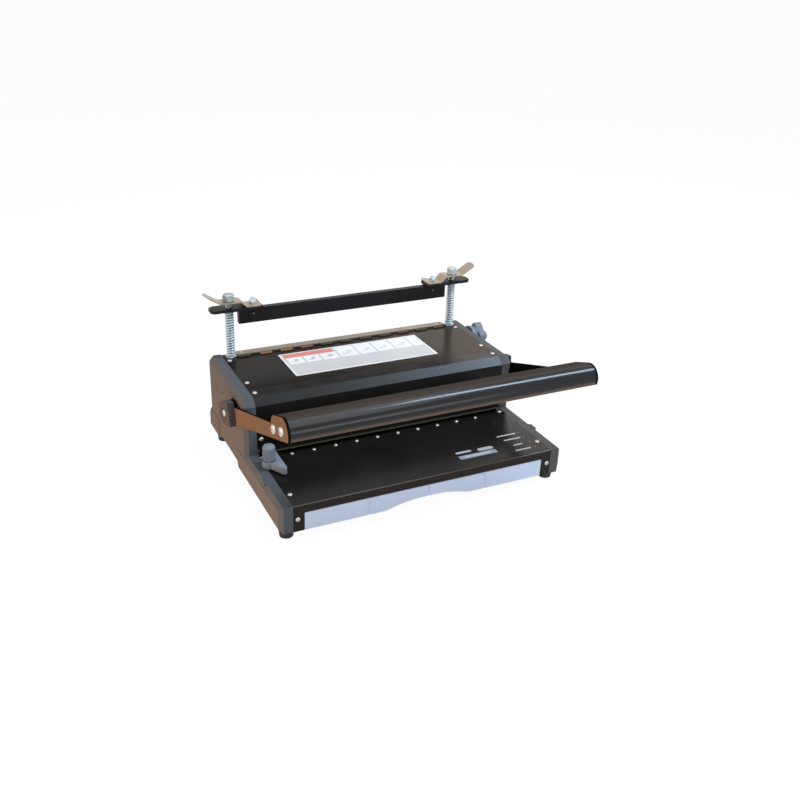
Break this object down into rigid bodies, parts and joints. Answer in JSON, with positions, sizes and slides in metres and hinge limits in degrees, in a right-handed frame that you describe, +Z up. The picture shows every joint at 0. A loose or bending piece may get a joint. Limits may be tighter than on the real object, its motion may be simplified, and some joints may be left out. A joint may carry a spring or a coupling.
{
  "type": "strip binding machine",
  "caption": "Desktop strip binding machine with a punch handle on two arms, a sprung press bar on posts with swivel latches, a toothed comb and a waste tray.",
  "frame": {"origin": "centre of the machine's bounding box, at the table", "axes": "+X to the machine's right seen from the front, +Y to the back, +Z up"},
  "size_m": [0.4068, 0.3346, 0.2076],
  "materials": {
    "cheek_grey": "moulded grey plastic, fine grain",
    "frame_steel": "plain steel sheet",
    "black_paint": "gloss black paint",
    "tool_steel": "ground steel",
    "lip_steel": "ground steel",
    "bronze": "sintered bronze",
    "comb_steel": "satin steel",
    "zinc": "bright zinc plate",
    "spring_steel": "bright wire",
    "rubber": "matt rubber",
    "screw_steel": "bright screws",
    "black_screw": "blacked steel",
    "lamp_red": "clear coloured plastic",
    "sticker": "printed film",
    "badge": "printed film",
    "black_plastic": "moulded black plastic",
    "arm_paint": "gloss dark paint",
    "handle_paint": "gloss black paint",
    "hub_grey": "moulded grey plastic",
    "press_paint": "satin black paint",
    "latch_steel": "satin stainless sheet",
    "tray_blue": "moulded plastic",
    "grip_grey": "moulded plastic"
  },
  "bodies": {
    "chassis": {"left_cheek": "cheek_grey", "right_cheek": "cheek_grey", "left_frame": "frame_steel", "right_frame": "frame_steel", "base_pan": "black_paint", "deck_plate": "black_paint", "front_cover": "black_paint", "top_cover": "black_paint", "rear_panel": "black_paint", "die_plate": "tool_steel", "throat_lip": "lip_steel", "punch_guides": "tool_steel", "shaft_bushes": "bronze", "post_beam": "tool_steel", "comb_bar": "comb_steel", "post_bolts": "zinc", "post_nuts": "zinc", "spring_left": "spring_steel", "spring_right": "spring_steel", "feet": "rubber", "foot_screws": "screw_steel", "cover_screws": "screw_steel", "row_screws": "screw_steel", "lamps": "lamp_red", "sticker": "sticker", "badge": "badge", "power_inlet": "black_plastic", "inlet_screws": "screw_steel", "switch_frame": "black_plastic", "stop_stud": "tool_steel", "knob_collar": "black_plastic"},
    "handle": {"handle_tube": "handle_paint", "left_arm": "arm_paint", "right_arm": "arm_paint", "handle_screws": "screw_steel", "hub_caps": "hub_grey", "hub_screws": "screw_steel", "drive_shaft": "tool_steel", "drive_cranks": "tool_steel"},
    "punch": {"punch_carrier": "tool_steel", "punch_pins": "tool_steel"},
    "press_bar": {"press_blade": "press_paint", "end_plates": "press_paint", "blade_screws": "black_screw", "latch_studs": "zinc", "latch_nuts": "zinc"},
    "latch_l": {"latch_left": "latch_steel"},
    "latch_r": {"latch_right": "latch_steel"},
    "tray": {"waste_tray": "tray_blue", "tray_front": "tray_blue"},
    "side_stop": {"stop_lever": "grip_grey"},
    "side_knob": {"star_knob": "grip_grey", "knob_shaft": "tool_steel"},
    "power_switch": {"rocker": "black_plastic"}
  },
  "joints": [
    {"name": "handle_swing", "type": "hinge", "parent": "chassis", "child": "handle", "pos_m": [-0.00215, 0.03935, 0.091], "axis": [1, 0, 0], "range_deg": [0, 28], "stiffness_Nm_per_rad": 5, "springref_deg": -34.38},
    {"name": "punch_slide", "type": "slide", "parent": "chassis", "child": "punch", "axis": [0, 0, -1], "range_m": [0, 0.0078]},
    {"name": "press_slide", "type": "slide", "parent": "chassis", "child": "press_bar", "axis": [0, 0, 1], "range_m": [-0.024, 0], "stiffness_N_per_m": 1500, "springref_m": 0.02, "deforming": ["spring_left", "spring_right"]},
    {"name": "latch_left_turn", "type": "hinge", "parent": "press_bar", "child": "latch_l", "pos_m": [-0.13115, 0.13835, 0.19], "axis": [0, 0, 1], "range_deg": [0, 70]},
    {"name": "latch_right_turn", "type": "hinge", "parent": "press_bar", "child": "latch_r", "pos_m": [0.12685, 0.13835, 0.19], "axis": [0, 0, -1], "range_deg": [0, 70]},
    {"name": "tray_slide", "type": "slide", "parent": "chassis", "child": "tray", "axis": [0, -1, 0], "range_m": [0, 0.12]},
    {"name": "stop_turn", "type": "hinge", "parent": "chassis", "child": "side_stop", "pos_m": [-0.16865, -0.02865, 0.06], "axis": [0, 0, 1], "range_deg": [-60, 10]},
    {"name": "knob_turn", "type": "hinge", "parent": "chassis", "child": "side_knob", "pos_m": [0.19285, 0.12235, 0.102], "axis": [1, 0, 0], "continuous": true},
    {"name": "switch_rock", "type": "hinge", "parent": "chassis", "child": "power_switch", "pos_m": [-0.07215, 0.14535, 0.0429], "axis": [0, 0, 1], "range_deg": [0, 14]}
  ],
  "couplings": [
    {"joint": "punch_slide", "follows": "handle_swing", "m_per_rad": 0.015841}
  ]
}
